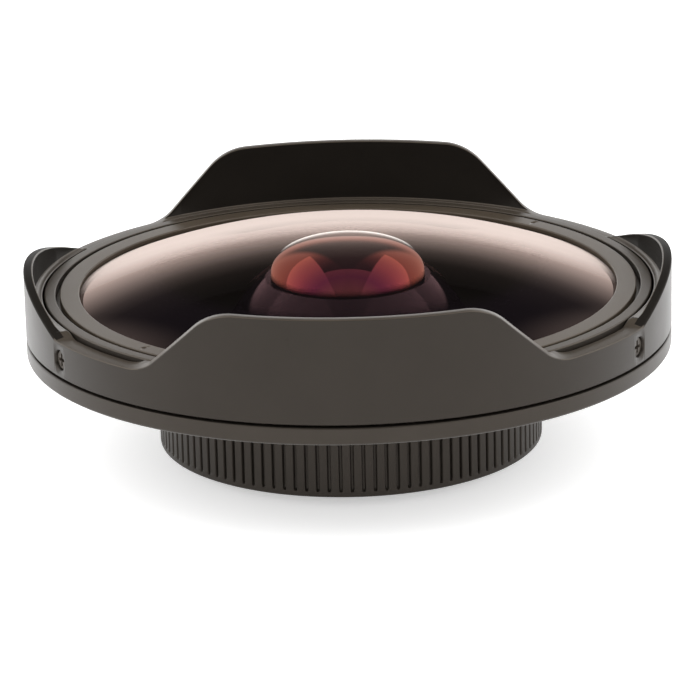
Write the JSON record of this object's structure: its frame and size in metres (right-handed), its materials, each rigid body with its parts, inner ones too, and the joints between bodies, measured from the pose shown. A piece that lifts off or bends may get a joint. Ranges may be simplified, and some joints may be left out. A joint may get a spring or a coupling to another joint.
{
  "type": "fisheye lens",
  "caption": "Screw-on fisheye conversion lens with a large domed front glass, a petal hood that turns, a knurled grip and a filter thread behind.",
  "frame": {"origin": "centre of the rear end of the filter thread, where the lens stands", "axes": "+Z along the optical axis, out of the front glass; -Y through the middle of the front petal; +X to its right"},
  "size_m": [0.088, 0.088, 0.0316],
  "materials": {
    "hood_black": "black anodised, satin",
    "barrel_black": "black anodised, satin",
    "ring_black": "black anodised, fine turned",
    "thread_black": "black anodised, threaded",
    "grip_black": "black anodised, straight knurl",
    "screw_steel": "black oxide",
    "front_glass": "polished, coated",
    "coated_glass": "polished, red and magenta coating",
    "seal_rubber": "matt",
    "baffle_black": "matt black",
    "washer_plastic": "smooth"
  },
  "bodies": {
    "barrel": {"main_barrel": "barrel_black", "front_retaining_ring": "ring_black", "front_element": "front_glass", "front_seal_ring": "seal_rubber", "light_baffle": "baffle_black", "second_element": "coated_glass", "second_seal_ring": "seal_rubber", "second_retaining_ring": "ring_black"},
    "hood": {"petal_hood": "hood_black", "hood_set_screws": "screw_steel"},
    "washer": {"slip_washer": "washer_plastic"},
    "rear_group": {"rear_cell": "barrel_black", "filter_thread_ring": "thread_black", "knurled_grip_ring": "grip_black", "rear_crown_element": "coated_glass", "rear_flint_element": "coated_glass", "element_spacer": "ring_black", "aperture_stop": "baffle_black", "rear_element": "coated_glass", "rear_seal_ring": "seal_rubber", "rear_retaining_ring": "ring_black"}
  },
  "joints": [
    {"name": "hood_turn", "type": "hinge", "parent": "barrel", "child": "hood", "pos_m": [0, 0, 0.02], "axis": [0, 0, 1], "continuous": true},
    {"name": "rear_group_advance", "type": "slide", "parent": "barrel", "child": "washer", "axis": [0, 0, -1], "range_m": [0, 0.003]},
    {"name": "rear_group_turn", "type": "hinge", "parent": "washer", "child": "rear_group", "pos_m": [0, 0, 0.007], "axis": [0, 0, -1], "range_deg": [0, 1440]}
  ],
  "couplings": [
    {"joint": "rear_group_advance", "follows": "rear_group_turn", "m_per_rad": 0.00011937}
  ]
}
